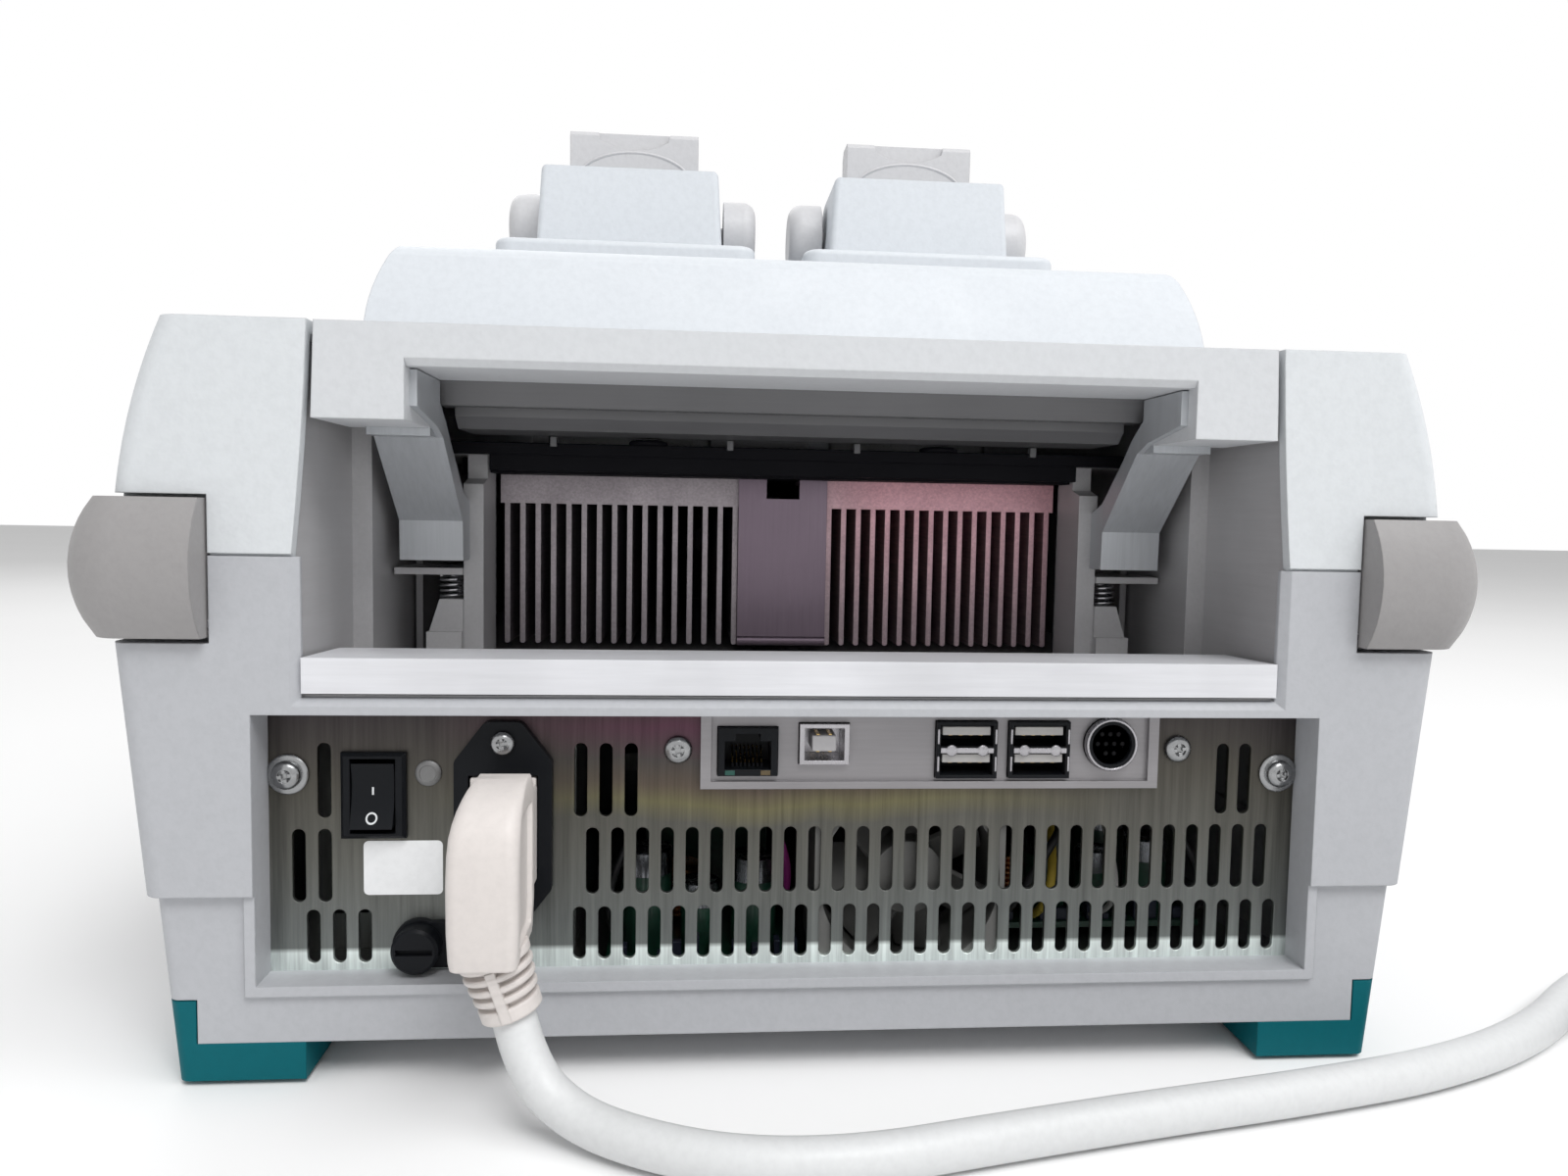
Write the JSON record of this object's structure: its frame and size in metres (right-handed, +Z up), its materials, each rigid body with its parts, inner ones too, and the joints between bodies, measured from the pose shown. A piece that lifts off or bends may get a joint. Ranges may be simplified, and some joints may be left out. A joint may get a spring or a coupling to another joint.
{
  "type": "thermal cycler",
  "caption": "Bench-top thermal cycler with lift-out twin-block module, hinged heated lids with levers, wrap-round locking bar, slotted connector panel and a coiled power cord.",
  "frame": {"origin": "on the bench at the centre of the instrument's footprint, without the cord, at the underside of the foot pads", "axes": "+Z up; -Y towards the control panel at the front; +Y towards the connector panel at the rear, which the picture shows; +X to the left in that rear view"},
  "size_m": [0.5038, 0.557, 0.2705],
  "materials": {
    "case_plastic": "fine moulded texture, cool pale grey",
    "cover_plastic": "fine moulded texture, near-white grey",
    "deck_plastic": "fine moulded texture, cool white",
    "handle_plastic": "fine moulded texture, light grey",
    "bar_plastic": "fine moulded texture, warm grey",
    "lever_plastic": "fine moulded texture, warm light grey",
    "teal_plastic": "satin teal moulding",
    "black_plastic": "satin black moulding",
    "rubber": "matt",
    "zinc_steel": "zinc-plated sheet, vertical grain",
    "bright_steel": "bright brushed sheet",
    "pin_steel": "ground steel",
    "screw_steel": "bright zinc-plated screws",
    "connector_metal": "nickel-plated shells",
    "sink_aluminium": "extruded, warm grey",
    "block_aluminium": "machined and anodised",
    "board": "green solder mask",
    "fan_plastic": "black fan moulding",
    "pale_fan_plastic": "pale fan moulding",
    "ceramic": "white ceramic faces",
    "gasket_rubber": "black silicone",
    "display_glass": "clear hard-coated window over a dark display",
    "keypad_film": "embossed membrane, blue-grey",
    "beige_plug": "beige moulded vinyl",
    "cord_vinyl": "grey vinyl jacket"
  },
  "bodies": {
    "instrument": {"lower_case": "case_plastic", "side_cover_left": "cover_plastic", "side_cover_right": "cover_plastic", "base_pan": "zinc_steel", "corner_feet": "teal_plastic", "foot_pads": "rubber", "chassis_plate": "zinc_steel", "rear_screws": "screw_steel", "port_panel": "bright_steel", "ethernet_jack": "black_plastic", "usb_b_port": "connector_metal", "usb_a_ports": "connector_metal", "service_port": "black_plastic", "power_inlet": "black_plastic", "switch_bezel": "black_plastic", "fuse_holder": "black_plastic", "power_supply": "zinc_steel", "power_board": "board", "main_board": "board", "base_fan_frame": "pale_fan_plastic", "module_bay": "zinc_steel", "bay_sill": "bright_steel", "control_housing": "cover_plastic", "display_window": "display_glass", "keypad_overlay": "keypad_film", "bar_pivot_pins": "pin_steel", "inlet_plug": "beige_plug", "power_cord": "cord_vinyl", "cord_coil": "cord_vinyl", "mains_plug": "beige_plug"},
    "locking_bar": {"locking_bar": "bar_plastic"},
    "module": {"module_deck": "deck_plastic", "rear_handle": "handle_plastic", "underdeck_trim": "bright_steel", "module_frame": "bright_steel", "lift_arms": "bright_steel", "latch_springs": "pin_steel", "heat_sink_left": "sink_aluminium", "heat_sink_right": "sink_aluminium", "centre_bracket": "bright_steel", "insulation_tray": "black_plastic", "thermoelectric_elements": "ceramic", "sample_block_left": "block_aluminium", "sample_block_right": "block_aluminium", "block_gaskets": "gasket_rubber", "module_fan_frames": "fan_plastic", "lid_hinges": "pin_steel"},
    "switch_rocker": {"switch_rocker": "black_plastic"},
    "fuse_cap": {"fuse_cap": "black_plastic"},
    "base_fan_rotor": {"base_fan_rotor": "pale_fan_plastic"},
    "module_fan_rotor_left": {"module_fan_rotor_left": "fan_plastic"},
    "lid_left": {"lid_base_left": "deck_plastic", "lid_cover_left": "deck_plastic"},
    "lid_lever_left": {"lid_lever_left": "lever_plastic"},
    "heated_plate_left": {"heated_plate_left": "block_aluminium"},
    "module_fan_rotor_right": {"module_fan_rotor_right": "fan_plastic"},
    "lid_right": {"lid_base_right": "deck_plastic", "lid_cover_right": "deck_plastic"},
    "lid_lever_right": {"lid_lever_right": "lever_plastic"},
    "heated_plate_right": {"heated_plate_right": "block_aluminium"}
  },
  "joints": [
    {"name": "locking_bar_pivot", "type": "hinge", "parent": "instrument", "child": "locking_bar", "pos_m": [0, 0.2196, 0.107], "axis": [-1, 0, 0], "range_deg": [0, 20]},
    {"name": "module_lift", "type": "slide", "parent": "instrument", "child": "module", "axis": [0, 0, 1], "range_m": [0, 0.1]},
    {"name": "rocker_switch", "type": "hinge", "parent": "instrument", "child": "switch_rocker", "pos_m": [0.1012, 0.2085, 0.0661], "axis": [-1, 0, 0], "range_deg": [0, 12]},
    {"name": "fuse_cap_turn", "type": "hinge", "parent": "instrument", "child": "fuse_cap", "pos_m": [0.0908, 0.2137, 0.03], "axis": [0, 1, 0], "range_deg": [0, 90]},
    {"name": "base_fan_spin", "type": "hinge", "parent": "instrument", "child": "base_fan_rotor", "pos_m": [-0.028, 0.1983, 0.0436], "axis": [0, 1, 0], "continuous": true},
    {"name": "module_fan_spin_right", "type": "hinge", "parent": "module", "child": "module_fan_rotor_right", "pos_m": [0.0486, -0.053, 0.1214], "axis": [0, 1, 0], "continuous": true},
    {"name": "lid_hinge_right", "type": "hinge", "parent": "module", "child": "lid_right", "pos_m": [0.0502, 0.107, 0.21], "axis": [-1, 0, 0], "range_deg": [0, 70]},
    {"name": "lid_lever_turn_right", "type": "hinge", "parent": "lid_right", "child": "lid_lever_right", "pos_m": [0.0502, 0.062, 0.2352], "axis": [1, 0, 0], "range_deg": [0, 75]},
    {"name": "heated_plate_press_right", "type": "slide", "parent": "lid_right", "child": "heated_plate_right", "axis": [0, 0, -1], "range_m": [0, 0.0025]},
    {"name": "module_fan_spin_left", "type": "hinge", "parent": "module", "child": "module_fan_rotor_left", "pos_m": [-0.0486, -0.053, 0.1214], "axis": [0, 1, 0], "continuous": true},
    {"name": "lid_hinge_left", "type": "hinge", "parent": "module", "child": "lid_left", "pos_m": [-0.0502, 0.107, 0.21], "axis": [-1, 0, 0], "range_deg": [0, 70]},
    {"name": "lid_lever_turn_left", "type": "hinge", "parent": "lid_left", "child": "lid_lever_left", "pos_m": [-0.0502, 0.062, 0.2352], "axis": [1, 0, 0], "range_deg": [0, 75]},
    {"name": "heated_plate_press_left", "type": "slide", "parent": "lid_left", "child": "heated_plate_left", "axis": [0, 0, -1], "range_m": [0, 0.0025]}
  ]
}
